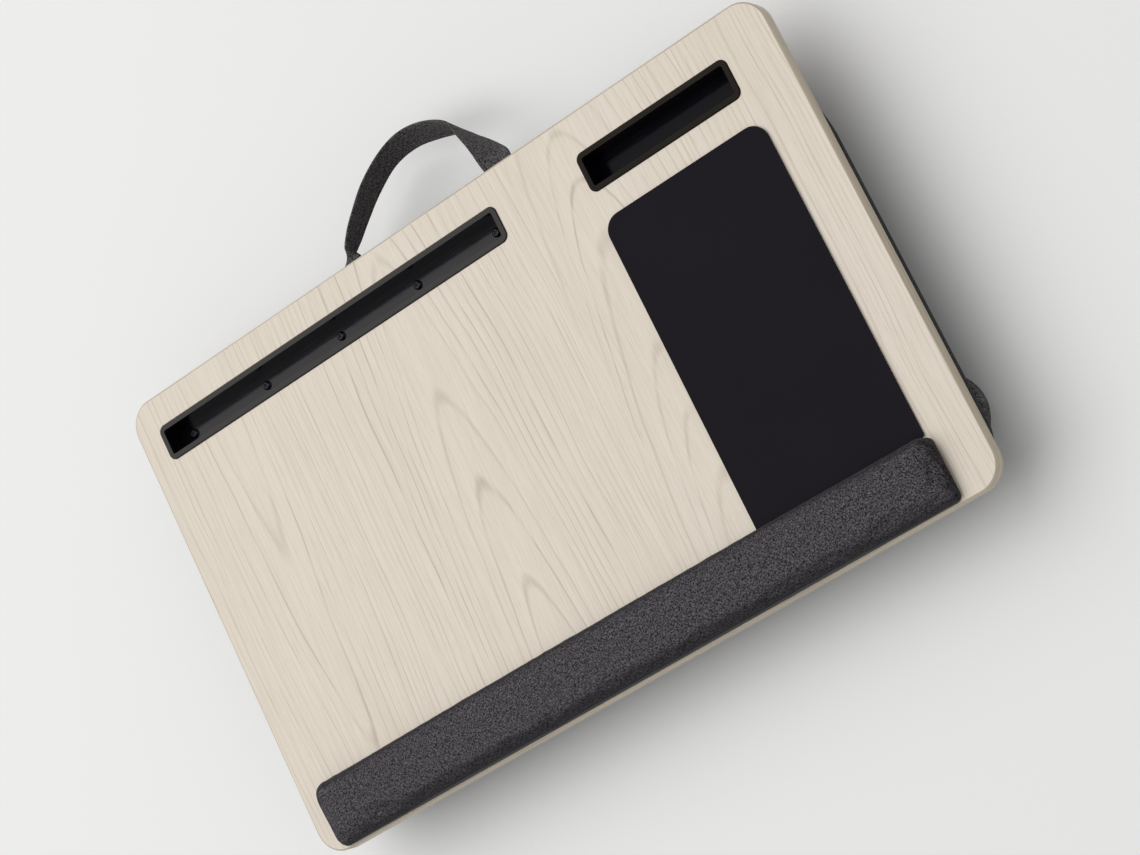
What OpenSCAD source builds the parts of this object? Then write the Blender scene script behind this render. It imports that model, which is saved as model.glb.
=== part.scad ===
// Lap desk for a laptop: a wood-grain board with a tablet slot, a phone slot, a mouse pad and a
// wrist rest, on a fabric cushion with two bolsters, with a carry handle at the back.
// X runs from left to right, Y from the user's edge to the handle, Z up from what it rests on.

/* [Board] */
// Width of the board, left to right
board_w = 550; // [540:1:620]
// Depth of the board, front to back
board_d = 345; // [340:1:380]
// Thickness of the board with its laminates
board_t = 12; // [9:0.5:15]
// Radius of the board's corners in plan
board_r = 19; // [10:1:30]
// Thickness of the printed laminate and of the sheet that balances it underneath
laminate_t = 0.8; // [0.4:0.1:1.2]
// Thickness of the band round the board's edge
band_t = 1.2; // [0.8:0.1:2]
// Bevel on the band's top and bottom edges
band_bevel = 0.8; // [0.2:0.1:1]

/* [Device slots] */
// Distance of the tablet slot's rim from the board's left edge
tablet_x = 18.2; // [12:0.1:30]
// Distance of the tablet slot's rim from the board's front edge
tablet_y = 297; // [290:0.5:300]
// Length of the tablet slot's rim
tablet_w = 308; // [280:1:310]
// Width of the tablet slot's rim, front to back
tablet_d = 26.4; // [24:0.2:30]
// Distance of the phone slot's rim from the board's left edge
phone_x = 392.4; // [385:0.1:400]
// Distance of the phone slot's rim from the board's front edge
phone_y = 290.6; // [285:0.2:300]
// Length of the phone slot's rim
phone_w = 121.2; // [100:0.2:125]
// Width of the phone slot's rim, front to back
phone_d = 28.6; // [26:0.2:32]
// Width of the moulded rim that lies on the board
rim_w = 4; // [3:0.1:5]
// Height of the rim above the board
rim_h = 1; // [0.6:0.1:2]
// Bevel on the rim's outer edge
rim_bevel = 0.8; // [0.2:0.1:1]
// Radius of the rim's corners in plan
rim_r = 5.5; // [4:0.5:8]
// Depth of the slots below the board's top
slot_depth = 18; // [15:0.5:18]
// Thickness of the slots' moulded walls
wall_t = 1.6; // [1.2:0.1:2]
// Number of screws along the tablet slot's floor
slot_screws = 5; // [3:1:5]
// Distance between those screws
screw_pitch = 69.5; // [50:0.5:70]

/* [Mouse pad] */
// Distance of the mouse pad from the board's left edge
pad_x = 390; // [380:0.5:395]
// Width of the mouse pad
pad_w = 126.4; // [110:0.2:130]
// Distance of the mouse pad's front edge from the board's front edge
pad_y = 47; // [47:0.5:60]
// Length of the mouse pad, front to back
pad_d = 224.6; // [180:0.2:226]
// Radius of the mouse pad's back corners
pad_r = 12; // [6:0.5:16]
// Radius of its front corners, under the wrist rest's overhang
pad_front_r = 2; // [1:0.5:6]

/* [Wrist rest] */
// Distance of the wrist rest from the board's left edge
wrist_x = 15.5; // [5:0.5:20]
// Length of the wrist rest, left to right
wrist_w = 505; // [480:1:512]
// Distance of the wrist rest from the board's front edge
wrist_y = 1.5; // [1:0.1:3]
// Width of the wrist rest, front to back
wrist_d = 48; // [40:0.5:48]
// Height of the wrist rest above the board, at its back
wrist_h = 15.5; // [12:0.5:20]

/* [Cushion] */
// Height of the board's underside above what the cushion rests on
cushion_h = 50; // [48:1:56]
// Thickness of the foam between the board and the stiff panel
foam_t = 8; // [8:0.5:8]
// Thickness of the stiff panel
panel_t = 3; // [2:0.5:4]
// Thickness of the cloth round the panel
cloth_t = 1; // [0.6:0.1:1.2]
// Distance of the cushion's sides from the board's sides
side_inset = 0.6; // [0.5:0.1:6]
// Distance of the cushion's front from the board's front edge
front_inset = 4; // [3:0.5:10]
// Distance of the cushion's back from the board's back edge
back_inset = 5; // [3:0.5:6]
// Radius of the cushion's front corners in plan
front_r = 36; // [25:1:45]
// Radius of its back left corner in plan, small enough to cover the end of the tablet slot
back_left_r = 60; // [40:1:62]
// Radius of its back right corner in plan
back_right_r = 100; // [60:1:100]
// Width of each bolster, front to back
bolster_d = 98; // [80:1:100]
// Length of the front bolster, left to right
front_bolster_w = 549; // [500:1:549]
// Length of the back bolster, left to right
back_bolster_w = 514; // [460:1:520]
// Length of a bolster's rounded end, in plan
bolster_end = 76; // [50:1:90]
// Distance of the front bolster's middle from the board's front edge
front_bolster_y = 57; // [55:0.5:64]
// Distance of the back bolster's middle from the board's front edge
back_bolster_y = 282; // [275:0.5:283]

/* [Handle] */
// Width of the handle's strap
strap_w = 22; // [18:0.5:25]
// Thickness of the handle's strap
strap_t = 2.2; // [1.5:0.1:2.4]
// Distance between the middles of the strap's two ends
handle_span = 132.4; // [110:0.2:140]
// Distance of the handle's middle from the board's middle
handle_x = -4.8; // [-10:0.2:10]
// Angle at which the handle droops below the board
handle_droop = 20; // [10:1:25]

/* [Hidden] */
$fn = 64;

// Colours, as they look
wood = "#dad0c4";
band_colour = "#b4ab9b";
mdf = "#b8956a";
black_plastic = "#1c1b20";
black_pad = "#1d1c21";
heather = "#3f3b40";
foam_colour = "#d9d4c2";
steel = "#4a4a4e";

// Small gaps and overlaps
gap = 0.3;       // clearance round a part in its cut-out
foam_gap = 2;    // clearance round a tray in the foam
past = 1;        // how far a cutting shape runs past what it cuts

// Heights above the resting surface
under_z = cushion_h;
top_z = cushion_h + board_t;
tray_floor_t = foam_t + board_t - slot_depth;
panel_top_z = under_z - foam_t;
panel_under_z = panel_top_z - panel_t;
cloth_under_z = panel_under_z - cloth_t;

// Cushion outline
panel_in = 1.5;   // how far the panel's edge stays inside the foam's
bag_w = board_w - 2 * side_inset;
bag_d = board_d - front_inset - back_inset;

// Mouse pad layers, from the board up
adhesive_t = 0.15;
adhesive_inset = 3;
backing_t = 0.95;
backing_inset = 0.2;
face_t = 0.5;
least_r = 0.5;   // smallest radius of a layer's front corners

// Wrist rest layers and form
tape_t = 0.5;
base_t = 1.5;
base_lip = 1;          // how far the base shows in front of the cover
base_end = 1;          // how far the cover stands past the base's ends
base_back = 3.5;       // how far the cover overhangs the base at the back
wrist_end_r = 10;      // rounding of the cover's ends
wrist_cover_t = 1.2;
wrist_front_h = 0.8;   // height of the front of the cover, as a part of the back
wrist_bow = 2.5;       // how much narrower the cover is at its ends than in its middle
wrist_taper = 2;       // how much narrower the cover's last slice is, on each side
wrist_side_curve = 0.45;   // roundness of the cover's sides: 1 is round, 0 is square
wrist_top_curve = 0.5;     // roundness of its top
wrist_end_curve = 0.6;     // roundness of its ends, seen from the side
base_r = 5;            // radius of the base's corners in plan
tape_d = 14;           // width of each strip of tape
tape_inset = 12;       // distance of the tape's ends from the wrist rest's ends
tape_edge = 5;         // distance of the tape from the base's front and back
wrist_sides = 20;      // points round a slice
wrist_steps = 12;      // slices along the middle
wrist_end_steps = 5;   // slices round each end

// Bolster form
bolster_t = 1.2;       // thickness of the cover
bolster_side_curve = 0.8;  // roundness of its sides: 1 is round, 0 is square
bolster_top_curve = 0.75;  // roundness of its top and bottom
bolster_end_curve = 0.55;  // roundness of its ends, seen from the side
bolster_sides = 20;    // points round a slice
bolster_steps = 7;     // slices round each end
bolster_spans = 4;     // spans along the middle
rest_cut = 0.5;        // how deep the form is cut flat where it rests
crown = 1.5;           // how much the middle of a bolster swells above its ends

// Strap ends, under the board
anchor_len = 24;
hinge_gap = 2;                         // distance of the hinge line behind the board
hinge_y = board_d + hinge_gap;
hinge_z = under_z - gap - strap_t / 2;
strap_start = 1.2;                     // where the free strap starts, past the hinge line
anchor_end = 1;                        // where the fixed end stops, before the hinge line
strap_edge = 0.8;                      // how far the strap's edges are rounded
anchor_screw_y = board_d - 14;

// The strap's middle line from left to right. Each point has its distance from the handle's
// middle, as a part of half the span, its distance from the hinge line in millimetres, and the
// strap's turn about its own length in degrees. At each end the strap lies flat under the board,
// and it stands on edge round the top of the loop.
strap_path = [
    [-1.000, strap_start, 0], [-0.997, 8, -54], [-0.885, 19, -73], [-0.752, 30.5, -79],
    [-0.526, 47, -85], [-0.248, 59.7, -87], [0.042, 63.9, -97], [0.332, 59.8, -100],
    [0.625, 49.5, -88], [0.764, 35.5, -70], [0.915, 17, -41], [1.000, strap_start, 0]
];
strap_rings = 4;       // rings between two points of the path

// Screws
tray_screw_head_r = 3.25;
tray_screw_head_h = 1.9;
tray_screw_r = 1.5;
tray_screw_back = 1;   // how far the screws are behind the middle of the slot's floor
anchor_screw_r = 1.75;
anchor_screw_head_r = 3.4;
anchor_screw_head_h = 2;
anchor_screw_len = 9;
washer_r = 5;
washer_t = 0.8;
recess_w = 0.9;        // width of a screw's cross recess
recess_l = 3.6;        // length of a screw's cross recess
recess_h = 1.1;        // depth of a screw's cross recess

// ---- Outlines and solids that more than one piece uses ----

// A rectangle with round corners, from its left front corner
module round_rect(w, d, r) {
    translate([r, 0]) square([w - 2 * r, d]);
    translate([0, r]) square([w, d - 2 * r]);
    for (x = [r, w - r], y = [r, d - r]) translate([x, y]) circle(r);
}

// A plate with round corners and bevelled edges, from its left front corner
module bevelled_plate(w, d, h, r, bevel_low, bevel_high) {
    translate([r, d / 2, 0]) rotate([90, 0, 90])
        linear_extrude(w - 2 * r) bevelled_side(d, h, bevel_low, bevel_high);
    translate([w / 2, d - r, 0]) rotate([90, 0, 0])
        linear_extrude(d - 2 * r) bevelled_side(w, h, bevel_low, bevel_high);
    for (x = [r, w - r], y = [r, d - r]) translate([x, y, 0]) rotate_extrude()
        polygon([
            [0, 0], [r - bevel_low, 0], [r, bevel_low],
            [r, h - bevel_high], [r - bevel_high, h], [0, h]
        ]);
}

// The cross-section of a bevelled plate
module bevelled_side(w, h, bevel_low, bevel_high) {
    polygon([
        [-w / 2 + bevel_low, 0], [w / 2 - bevel_low, 0], [w / 2, bevel_low],
        [w / 2, h - bevel_high], [w / 2 - bevel_high, h],
        [-w / 2 + bevel_high, h], [-w / 2, h - bevel_high], [-w / 2, bevel_low]
    ]);
}

// The cushion's outline in plan, drawn in by some distance on all sides
module bag_outline(inset) {
    w = bag_w - 2 * inset;
    d = bag_d - 2 * inset;
    rf = front_r - inset;
    rl = back_left_r - inset;
    rr = back_right_r - inset;
    translate([side_inset + inset, front_inset + inset]) {
        translate([0, rf]) square([w, d - rf - rr]);
        translate([rf, 0]) square([w - 2 * rf, rf + past]);
        translate([rl, d - rr - past]) square([w - rl - rr, rr + past]);
        translate([0, d - rr - past]) square([rl + past, rr - rl + past]);
        for (x = [rf, w - rf]) translate([x, rf]) circle(rf);
        translate([rl, d - rl]) circle(rl);
        translate([w - rr, d - rr]) circle(rr);
    }
}

// The part of a slot's tray that passes through the board, grown by some distance
module tray_outline(x, y, w, d, grow) {
    edge = rim_w - wall_t - grow;
    translate([x + edge, y + edge]) round_rect(w - 2 * edge, d - 2 * edge, rim_r - edge);
}

// The cut-outs for both trays
module tray_cutouts(z_low, z_high, grow) {
    translate([0, 0, z_low]) linear_extrude(z_high - z_low) {
        tray_outline(tablet_x, tablet_y, tablet_w, tablet_d, grow);
        tray_outline(phone_x, phone_y, phone_w, phone_d, grow);
    }
}

// A moulded tray: a rim on the board, walls down through it and a floor on the panel
module tray(x, y, w, d) {
    difference() {
        union() {
            translate([x, y, top_z]) bevelled_plate(w, d, rim_h, rim_r, 0, rim_bevel);
            translate([0, 0, panel_top_z])
                linear_extrude(top_z - panel_top_z + rim_h / 2) tray_outline(x, y, w, d, 0);
        }
        translate([x + rim_w, y + rim_w, top_z - slot_depth])
            linear_extrude(slot_depth + rim_h + past)
                round_rect(w - 2 * rim_w, d - 2 * rim_w, rim_r - rim_w);
    }
}

// A pan-head screw that points down, with its head's underside at z = 0
module pan_screw(shank_r, shank_len, head_r, head_h) {
    difference() {
        rotate_extrude() polygon([
            [0, head_h], [head_r * 0.65, head_h], [head_r, head_h * 0.4], [head_r, 0],
            [shank_r, 0], [shank_r, -shank_len], [0, -shank_len]
        ]);
        for (turn = [0, 90]) rotate([0, 0, turn])
            translate([-recess_l / 2, -recess_w / 2, head_h - recess_h])
                cube([recess_l, recess_w, recess_h + past]);
    }
}

function signed_power(v, e) = sign(v) * pow(abs(v), e);

// Faces of a closed skin over a list of rings, with a point at each end: the rings' points come
// first, then the start point, then the end point.
function skin_faces(rings, sides) = concat(
    [for (j = [0:rings - 2], i = [0:sides - 1])
        [j * sides + i, (j + 1) * sides + i, j * sides + (i + 1) % sides]],
    [for (j = [0:rings - 2], i = [0:sides - 1])
        [j * sides + (i + 1) % sides, (j + 1) * sides + i, (j + 1) * sides + (i + 1) % sides]],
    [for (i = [0:sides - 1]) [rings * sides, i, (i + 1) % sides]],
    [for (i = [0:sides - 1])
        [rings * sides + 1, (rings - 1) * sides + (i + 1) % sides, (rings - 1) * sides + i]]
);

// The middle of a ring's box
function ring_middle(ring) = [
    for (k = [0:2]) let (values = [for (p = ring) p[k]]) (max(values) + min(values)) / 2
];

// A closed skin over a list of rings
module skin(rings) {
    sides = len(rings[0]);
    points = [for (ring = rings) each ring];
    ends = [ring_middle(rings[0]), ring_middle(rings[len(rings) - 1])];
    polyhedron(concat(points, ends), skin_faces(len(rings), sides));
}

// ---- Board ----

module board_core() {
    color(mdf) difference() {
        translate([band_t, band_t, under_z + laminate_t])
            linear_extrude(board_t - 2 * laminate_t)
                round_rect(board_w - 2 * band_t, board_d - 2 * band_t, board_r - band_t);
        tray_cutouts(under_z - past, top_z + past, gap);
        anchor_screw_places() translate([0, 0, -strap_t - gap])
            cylinder(h = anchor_screw_len - washer_t, r = anchor_screw_r);
    }
}

// A laminate on one face of the board
module laminate(z) {
    difference() {
        translate([band_t, band_t, z]) linear_extrude(laminate_t)
            round_rect(board_w - 2 * band_t, board_d - 2 * band_t, board_r - band_t);
        tray_cutouts(under_z - past, top_z + past, gap);
        anchor_screw_places() translate([0, 0, -past])
            cylinder(h = laminate_t + 2 * past, r = anchor_screw_r);
    }
}

module top_laminate() {
    color(wood) laminate(top_z - laminate_t);
}

module backing_sheet() {
    color(mdf) laminate(under_z);
}

module edge_band() {
    color(band_colour) difference() {
        translate([0, 0, under_z])
            bevelled_plate(board_w, board_d, board_t, board_r, band_bevel, band_bevel);
        translate([band_t, band_t, under_z - past]) linear_extrude(board_t + 2 * past)
            round_rect(board_w - 2 * band_t, board_d - 2 * band_t, board_r - band_t);
    }
}

// ---- Device slots ----

module tablet_screw_places() {
    first = tablet_x + tablet_w / 2 - screw_pitch * (slot_screws - 1) / 2;
    for (i = [0:slot_screws - 1])
        translate([
            first + i * screw_pitch, tablet_y + tablet_d / 2 + tray_screw_back, top_z - slot_depth
        ]) children();
}

module tablet_tray() {
    color(black_plastic) difference() {
        tray(tablet_x, tablet_y, tablet_w, tablet_d);
        tablet_screw_places() translate([0, 0, -tray_floor_t - past])
            cylinder(h = tray_floor_t + 2 * past, r = tray_screw_r);
    }
}

module tablet_tray_screws() {
    color(steel) tablet_screw_places() rotate([0, 0, 30])
        pan_screw(tray_screw_r, tray_floor_t + panel_t, tray_screw_head_r, tray_screw_head_h);
}

// The phone's tray is held by four wedges that snap under the board
module phone_tray() {
    wedge_w = 12;
    wedge_h = 4;
    wedge_out = 1.4;
    wedge_in = 0.5;
    edge = rim_w - wall_t;
    color(black_plastic) union() {
        tray(phone_x, phone_y, phone_w, phone_d);
        for (x = [phone_x + phone_w * 0.25, phone_x + phone_w * 0.75], back = [0, 1])
            translate([x, back ? phone_y + phone_d - edge : phone_y + edge, under_z - gap])
                rotate([90, 0, back ? 90 : -90])
                    linear_extrude(wedge_w, center = true)
                        polygon([
                            [-wedge_in, 0], [wedge_out, 0], [0, -wedge_h], [-wedge_in, -wedge_h]
                        ]);
    }
}

// ---- Mouse pad ----

module pad_layer(z, thick, inset) {
    w = pad_w - 2 * inset;
    d = pad_d - 2 * inset;
    translate([pad_x + inset, pad_y + inset, z]) linear_extrude(thick) {
        round_rect(w, d, pad_r - inset);
        round_rect(w, d / 2, max(pad_front_r - inset, least_r));
    }
}

module mouse_pad_face() {
    color(black_pad) pad_layer(top_z + adhesive_t + backing_t, face_t, 0);
}

module mouse_pad_backing() {
    color(black_plastic) pad_layer(top_z + adhesive_t, backing_t, backing_inset);
}

module mouse_pad_adhesive() {
    color(foam_colour) pad_layer(top_z, adhesive_t, adhesive_inset);
}

// ---- Wrist rest ----

// One slice across the wrist rest: flat below, its top sloping down to the front.
// Distances are from the middle of its length and from the board's front edge.
function wrist_ring(x, drop, inset) = [
    for (i = [0:wrist_sides - 1])
        let (
            a = 360 * i / wrist_sides,
            half_d = (wrist_d - base_lip) / 2 - inset - (1 - drop) * wrist_taper,
            bow = wrist_bow * pow(abs(x) / (wrist_w / 2), 3),
            across = signed_power(cos(a), wrist_side_curve),
            back_bow = across > 0 ? bow * across : 0,
            low = top_z + tape_t + base_t + inset,
            high = (wrist_h - tape_t - base_t - 2 * inset) * drop,
            slope = wrist_front_h + (1 - wrist_front_h) * (across + 1) / 2
        )
        [
            wrist_x + wrist_w / 2 + x,
            wrist_y + (wrist_d + base_lip) / 2 + across * half_d - back_bow,
            low + high * slope * pow(max(0, sin(a)), wrist_top_curve)
        ]
];

// Slices along the wrist rest, closer together round its ends
function wrist_rings(inset) = let (
    straight = wrist_w / 2 - inset - wrist_end_r,
    turns = [for (k = [1:wrist_end_steps]) 90 * k / wrist_end_steps]
) concat(
    [for (a = turns)
        wrist_ring(-straight - wrist_end_r * cos(a), pow(sin(a), wrist_end_curve), inset)],
    [for (k = [1:wrist_steps - 1]) wrist_ring(straight * (2 * k / wrist_steps - 1), 1, inset)],
    [for (k = [wrist_end_steps - 1:-1:0]) let (a = turns[k])
        wrist_ring(straight + wrist_end_r * cos(a), pow(sin(a), wrist_end_curve), inset)]
);

module wrist_rest_cover() {
    color(heather) difference() {
        skin(wrist_rings(0));
        skin(wrist_rings(wrist_cover_t));
    }
}

module wrist_rest_foam() {
    color(foam_colour) skin(wrist_rings(wrist_cover_t));
}

module wrist_rest_base() {
    color(black_plastic) translate([wrist_x + base_end, wrist_y, top_z + tape_t])
        linear_extrude(base_t) round_rect(wrist_w - 2 * base_end, wrist_d - base_back, base_r);
}

module wrist_rest_tape() {
    front_y = wrist_y + tape_edge;
    back_y = wrist_y + wrist_d - base_back - tape_edge - tape_d;
    color(foam_colour) for (y = [front_y, back_y])
        translate([wrist_x + tape_inset, y, top_z])
            cube([wrist_w - 2 * tape_inset, tape_d, tape_t]);
}

// ---- Cushion ----

// The room that the strap's ends need under the board, from some place back past the hinge line
module anchor_channels(y) {
    for (x = handle_ends())
        translate([x - strap_w / 2 - gap, y, under_z - strap_t - 2 * gap])
            cube([strap_w + 2 * gap, hinge_y + past - y, strap_t + 2 * gap + past]);
}

// Pockets in the foam for the strap's ends, their washers and their screw heads
module anchor_pockets() {
    deep = strap_t + washer_t + anchor_screw_head_h + 2 * gap;
    anchor_channels(hinge_y - anchor_len - gap);
    anchor_screw_places() translate([0, 0, -deep]) cylinder(h = deep, r = washer_r + gap);
}

module cushion_foam() {
    color(foam_colour) difference() {
        translate([0, 0, panel_top_z]) linear_extrude(foam_t) bag_outline(cloth_t);
        tray_cutouts(panel_top_z - past, under_z + past, foam_gap);
        anchor_pockets();
    }
}

module cushion_panel() {
    color(mdf) difference() {
        translate([0, 0, panel_under_z]) linear_extrude(panel_t)
            bag_outline(cloth_t + panel_in);
        tablet_screw_places() translate([0, 0, -tray_floor_t - panel_t - past])
            cylinder(h = panel_t + 2 * past, r = tray_screw_r);
    }
}

// The cloth goes under the panel and up round the foam's sides to the board
module cushion_cloth() {
    color(heather) difference() {
        translate([0, 0, cloth_under_z]) linear_extrude(under_z - cloth_under_z) bag_outline(0);
        translate([0, 0, panel_under_z]) linear_extrude(under_z - panel_under_z + past)
            bag_outline(cloth_t);
        anchor_channels(board_d - back_inset - cloth_t - past);
    }
}

// One slice across a bolster: flat where it is sewn to the cloth and where it rests
function bolster_ring(x, y, wide, tall, inset) = [
    for (i = [0:bolster_sides - 1])
        let (
            a = 360 * (i + 0.5) / bolster_sides,
            half_d = (bolster_d / 2 - inset) * wide,
            half_h = (cloth_under_z / 2 + rest_cut - inset) * tall,
            z = cloth_under_z / 2 + half_h * signed_power(sin(a), bolster_top_curve)
        )
        [
            board_w / 2 + x,
            y + half_d * signed_power(cos(a), bolster_side_curve),
            min(cloth_under_z - gap / 2 - inset, max(inset, z))
        ]
];

// Slices along a bolster, with its ends elliptical in plan
function bolster_rings(w, y, inset) = let (
    r = bolster_end - inset,
    straight = w / 2 - bolster_end,
    turns = [for (k = [1:bolster_steps]) 90 * k / bolster_steps]
) concat(
    [for (a = turns)
        bolster_ring(-straight - r * cos(a), y, sin(a), pow(sin(a), bolster_end_curve), inset)],
    [for (k = [1:bolster_spans - 1]) let (s = 2 * k / bolster_spans - 1)
        bolster_ring(straight * s, y, 1 + crown / bolster_d * (1 - s * s), 1, inset)],
    [for (k = [bolster_steps - 1:-1:0]) let (a = turns[k])
        bolster_ring(straight + r * cos(a), y, sin(a), pow(sin(a), bolster_end_curve), inset)]
);

module bolster_cover(w, y) {
    color(heather) difference() {
        skin(bolster_rings(w, y, 0));
        skin(bolster_rings(w, y, bolster_t));
    }
}

module bolster_fill(w, y) {
    color(foam_colour) skin(bolster_rings(w, y, bolster_t));
}

module front_bolster_cover() {
    bolster_cover(front_bolster_w, front_bolster_y);
}

module front_bolster_fill() {
    bolster_fill(front_bolster_w, front_bolster_y);
}

module back_bolster_cover() {
    bolster_cover(back_bolster_w, back_bolster_y);
}

module back_bolster_fill() {
    bolster_fill(back_bolster_w, back_bolster_y);
}

// ---- Handle ----

function handle_ends() = [for (side = [-1, 1]) board_w / 2 + handle_x + side * handle_span / 2];

// A smooth curve through four neighbouring points, at s from the second to the third
function curve(p0, p1, p2, p3, s) = (
    2 * p1 + (p2 - p0) * s + (2 * p0 - 5 * p1 + 4 * p2 - p3) * s * s
    + (3 * p1 - p0 - 3 * p2 + p3) * s * s * s
) / 2;

function path_point(i) = let (n = len(strap_path))
    i < 0 ? 2 * strap_path[0] - strap_path[1]
    : i >= n ? 2 * strap_path[n - 1] - strap_path[n - 2]
    : strap_path[i];

// The strap's middle line: distance from the handle's middle, distance from the hinge, turn
strap_line = [
    for (i = [0:len(strap_path) - 2], k = [0:strap_rings - 1])
        curve(
            path_point(i - 1), path_point(i), path_point(i + 1), path_point(i + 2), k / strap_rings
        ),
    strap_path[len(strap_path) - 1]
];

// A place in the drooping plane of the handle, with a height above that plane
function handle_place(u, v, lift) = [
    board_w / 2 + handle_x + u,
    hinge_y + v * cos(handle_droop) + lift * sin(handle_droop),
    hinge_z - v * sin(handle_droop) + lift * cos(handle_droop)
];

// The direction of the strap's middle line at one of its points, in the handle's plane
function strap_direction(j) = let (
    a = strap_line[max(0, j - 1)],
    b = strap_line[min(len(strap_line) - 1, j + 1)],
    d = [(b[0] - a[0]) * handle_span / 2, b[1] - a[1]]
) d / norm(d);

// The strap's section, from its middle: first across its width, then through its thickness
strap_section = [
    [strap_w / 2, 0], [strap_w / 2 - strap_edge, strap_t / 2],
    [-strap_w / 2 + strap_edge, strap_t / 2], [-strap_w / 2, 0],
    [-strap_w / 2 + strap_edge, -strap_t / 2], [strap_w / 2 - strap_edge, -strap_t / 2]
];

function strap_ring(j) = let (
    p = strap_line[j],
    d = strap_direction(j),
    turn = p[2],
    square_end = j == 0 || j == len(strap_line) - 1
) [
    for (q = strap_section) let (
        out = square_end ? [j == 0 ? -1 : 1, 0] : [-d[1], d[0]],
        side = q[0] * cos(turn) - q[1] * sin(turn),
        lift = q[0] * sin(turn) + q[1] * cos(turn)
    )
    handle_place(p[0] * handle_span / 2 + out[0] * side, p[1] + out[1] * side, lift)
];

strap_skin = [for (j = [0:len(strap_line) - 1]) strap_ring(j)];

// The handle reaches further back than the board, and the origin is under the middle of both
handle_back = max([for (ring = strap_skin, p = ring) p[1]]);

module handle_strap() {
    color(heather) skin(strap_skin);
}

module anchor_screw_places() {
    for (x = handle_ends()) translate([x, anchor_screw_y, under_z]) children();
}

module handle_anchors() {
    color(heather) difference() {
        for (x = handle_ends())
            translate([x - strap_w / 2, hinge_y - anchor_len, under_z - gap - strap_t])
                cube([strap_w, anchor_len - anchor_end, strap_t]);
        anchor_screw_places() translate([0, 0, -strap_t - past])
            cylinder(h = strap_t + 2 * past, r = anchor_screw_r);
    }
}

module handle_washers() {
    under_strap = -gap - strap_t - washer_t;
    color(steel) anchor_screw_places() translate([0, 0, under_strap]) difference() {
        cylinder(h = washer_t, r = washer_r);
        translate([0, 0, -past]) cylinder(h = washer_t + 2 * past, r = anchor_screw_r);
    }
}

module handle_screws() {
    under_washer = -gap - strap_t - washer_t;
    color(steel) anchor_screw_places() translate([0, 0, under_washer]) rotate([180, 0, 0])
        pan_screw(anchor_screw_r, anchor_screw_len, anchor_screw_head_r, anchor_screw_head_h);
}

// ---- The whole lap desk, with the origin under its middle ----

module place() {
    translate([-board_w / 2, -handle_back / 2, 0]) children();
}

place() board_core();
place() top_laminate();
place() backing_sheet();
place() edge_band();
place() tablet_tray();
place() tablet_tray_screws();
place() phone_tray();
place() mouse_pad_face();
place() mouse_pad_backing();
place() mouse_pad_adhesive();
place() wrist_rest_cover();
place() wrist_rest_foam();
place() wrist_rest_base();
place() wrist_rest_tape();
place() cushion_foam();
place() cushion_panel();
place() cushion_cloth();
place() front_bolster_cover();
place() front_bolster_fill();
place() back_bolster_cover();
place() back_bolster_fill();
place() handle_strap();
place() handle_anchors();
place() handle_screws();
place() handle_washers();
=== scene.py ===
"""The looks of a lap desk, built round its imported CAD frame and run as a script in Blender.

Lengths are in metres in the row frame. Places that belong to the board are given in millimetres
from the front left corner of its top, and on_board() turns them into the row frame.
"""

import math
from functools import partial

import bmesh
import bpy
import numpy as np
from mathutils import Matrix, Vector


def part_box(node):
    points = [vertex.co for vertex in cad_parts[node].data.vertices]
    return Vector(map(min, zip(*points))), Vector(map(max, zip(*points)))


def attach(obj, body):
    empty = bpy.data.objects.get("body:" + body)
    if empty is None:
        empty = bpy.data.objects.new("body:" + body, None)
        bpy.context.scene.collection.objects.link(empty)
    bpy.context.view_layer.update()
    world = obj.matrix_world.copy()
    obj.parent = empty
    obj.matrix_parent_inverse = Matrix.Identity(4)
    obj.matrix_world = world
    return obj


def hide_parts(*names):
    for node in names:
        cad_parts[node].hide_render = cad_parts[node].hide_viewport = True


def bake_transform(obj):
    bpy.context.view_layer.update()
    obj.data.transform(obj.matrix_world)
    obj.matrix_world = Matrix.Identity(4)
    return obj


bl_info = {
    "name": "Lap Desk Looks",
    "version": (1, 0, 0),
    "blender": (4, 5, 0),
    "location": "3D View > Sidebar > Lap Desk",
    "description": "Builds the cloth, stitches, materials, light and camera of a lap desk",
    "category": "Object",
}

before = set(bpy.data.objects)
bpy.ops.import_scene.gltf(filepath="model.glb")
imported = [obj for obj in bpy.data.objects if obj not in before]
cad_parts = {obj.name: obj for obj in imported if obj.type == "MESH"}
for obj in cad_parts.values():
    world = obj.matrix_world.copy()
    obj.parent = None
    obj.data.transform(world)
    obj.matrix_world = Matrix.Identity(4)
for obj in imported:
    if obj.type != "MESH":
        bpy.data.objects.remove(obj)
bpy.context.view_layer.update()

MM = 0.001
WEAVE = "weave"  # name of the map that carries the cloth's threads, in metres
FACING = "facing"  # name of the attribute that says which way a stitch faces
BOARD_LOW, BOARD_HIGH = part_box("edge_band")
FLOOR_Z = 0.0

# ---- Colours and nodes ----

BLACK = (0, 0, 0, 1)
# The kinds of node that most patterns are made of
MATH = "ShaderNodeMath"
RANGE = "ShaderNodeMapRange"  # takes a value, from min, from max, to min and to max
MIX = "ShaderNodeMix"
BUMP = "ShaderNodeBump"


def linear(hex_colour):
    """An sRGB hex colour as the linear red, green, blue and alpha that the shaders take."""
    channels = [int(hex_colour[i : i + 2], 16) / 255 for i in (1, 3, 5)]
    return [c / 12.92 if c <= 0.04045 else ((c + 0.055) / 1.055) ** 2.4 for c in channels] + [1.0]


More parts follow.
